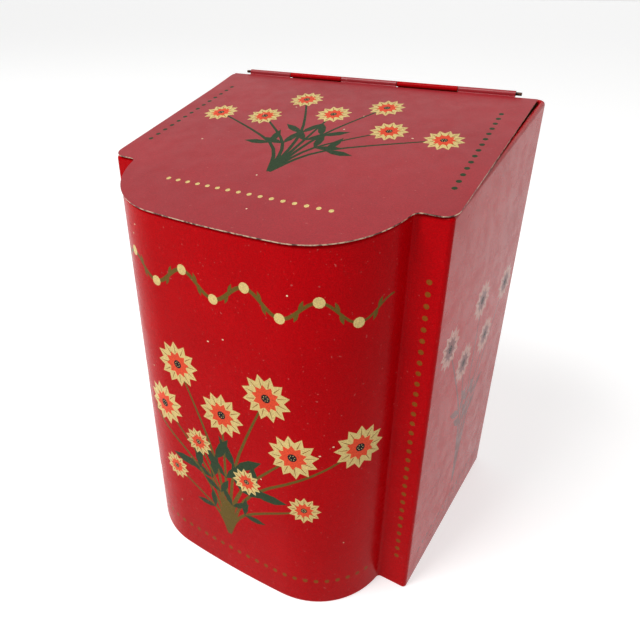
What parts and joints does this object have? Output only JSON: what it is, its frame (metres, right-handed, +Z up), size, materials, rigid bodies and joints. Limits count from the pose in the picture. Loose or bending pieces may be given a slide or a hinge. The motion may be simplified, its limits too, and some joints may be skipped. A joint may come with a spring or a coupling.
{
  "type": "hinged tin box",
  "caption": "Bow-fronted sheet-metal tin with flared sides and a sloping lid that swings on a rolled wire hinge along the back.",
  "frame": {"origin": "centre of the object's box at the level of the standing face", "axes": "+Z up, +Y towards the hinged back, -Y towards the bow front, +X to the right seen from the front"},
  "size_m": [0.1394, 0.1106, 0.1742],
  "materials": {
    "printed_tinplate": "glossy lithographed red with printed figures",
    "printed_lid": "worn satin lithographed red with printed figures",
    "bare_tinplate": "aged unprinted tinplate",
    "dark_wire": "dark oxidised iron wire"
  },
  "bodies": {
    "tin": {"body_wrap": "printed_tinplate", "back_panel": "printed_tinplate", "base_panel": "bare_tinplate", "hinge_wire": "dark_wire"},
    "lid": {"lid_panel": "printed_lid"}
  },
  "joints": [
    {"name": "lid_hinge", "type": "hinge", "parent": "tin", "child": "lid", "pos_m": [0, 0.05425, 0.17314], "axis": [-1, 0, 0], "range_deg": [0, 240]}
  ]
}
